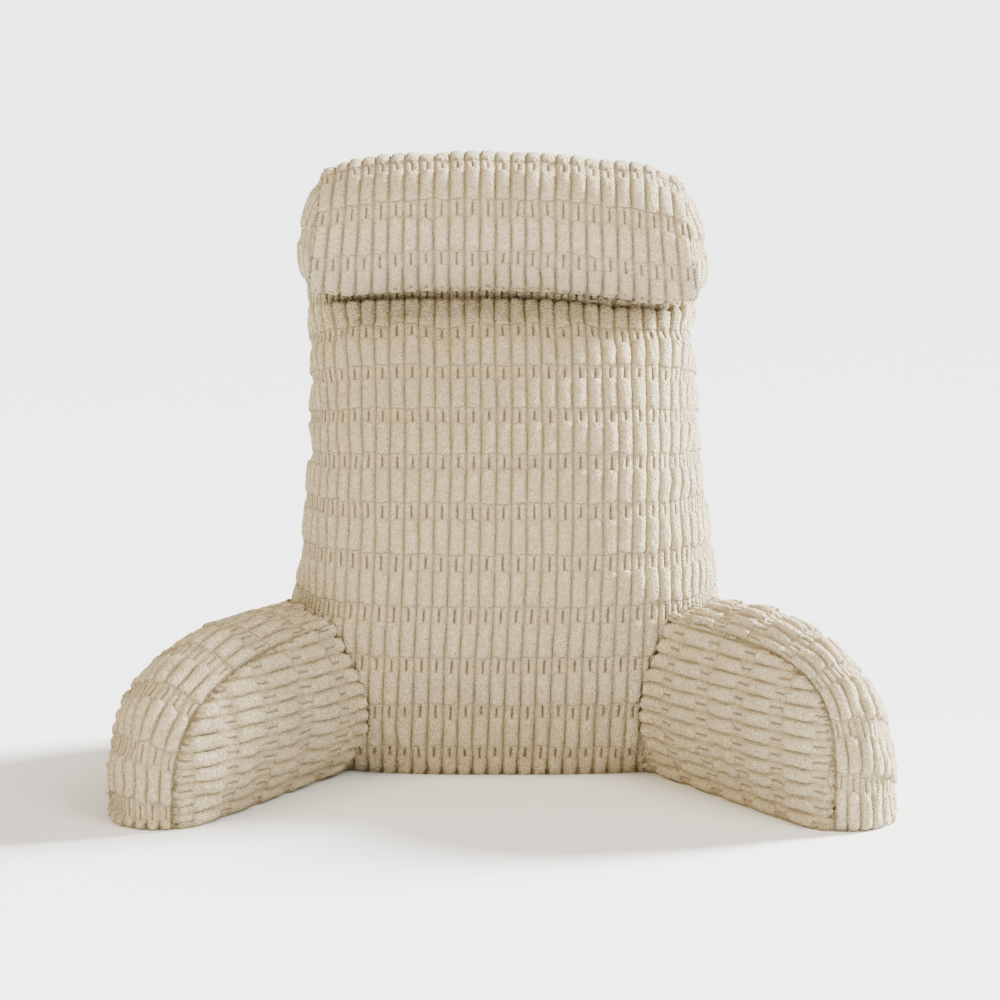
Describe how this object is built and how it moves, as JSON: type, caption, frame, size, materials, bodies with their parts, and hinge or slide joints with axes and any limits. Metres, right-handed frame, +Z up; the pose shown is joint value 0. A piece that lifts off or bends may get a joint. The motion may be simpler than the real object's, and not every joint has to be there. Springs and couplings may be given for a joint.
{
  "type": "reading pillow with arms",
  "caption": "Upright reading pillow in ribbed plush, with a wedge-shaped back, splayed side arms and a round head bolster.",
  "frame": {"origin": "middle of the back's flat underside, on the surface that the pillow stands on", "axes": "+X to the right of the person who faces the pillow, across both arms; +Y from the arms' feet towards the rear; +Z up"},
  "size_m": [0.8152, 0.5092, 0.6413],
  "materials": {
    "back_cloth": "matt ribbed plush, cream, with tan grooves",
    "arm_left_cloth": "matt ribbed plush, cream, with tan grooves",
    "arm_right_cloth": "matt ribbed plush, cream, with tan grooves",
    "bolster_cloth": "matt ribbed plush, cream, with tan grooves"
  },
  "bodies": {
    "root": {"back_cushion": "back_cloth", "arm_left": "arm_left_cloth", "arm_right": "arm_right_cloth", "head_bolster": "bolster_cloth"}
  },
  "joints": []
}
